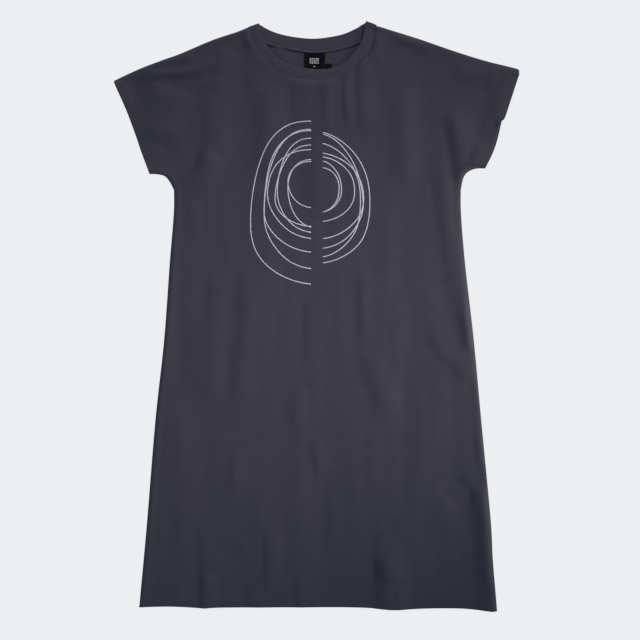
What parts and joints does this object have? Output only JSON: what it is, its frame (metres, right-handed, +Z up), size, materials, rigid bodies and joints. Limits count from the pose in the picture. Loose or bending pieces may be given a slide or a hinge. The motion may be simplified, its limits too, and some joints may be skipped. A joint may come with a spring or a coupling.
{
  "type": "t-shirt dress",
  "caption": "Knee-length t-shirt dress with cut-on cap sleeves, crew neckband and turned-up hem, laid flat.",
  "frame": {"origin": "middle of the dress's box on the surface that it lies on", "axes": "+X across the dress towards the sleeve on the right as seen from above, +Y from the hem towards the neck, +Z up from the surface"},
  "size_m": [0.6524, 0.95, 0.0055],
  "materials": {
    "jersey": "matt charcoal cotton jersey with a thin pale lilac print",
    "rib_knit": "matt charcoal rib knit",
    "label_weave": "black woven satin label, bare but for a plain woven bar"
  },
  "bodies": {
    "root": {"front_panel": "jersey", "back_panel": "jersey", "neckband": "rib_knit", "neck_tape": "rib_knit", "main_label": "label_weave", "size_label": "label_weave", "front_hem": "jersey", "back_hem": "jersey", "front_sleeve_hem_left": "jersey", "back_sleeve_hem_left": "jersey", "front_sleeve_hem_right": "jersey", "back_sleeve_hem_right": "jersey"}
  },
  "joints": []
}
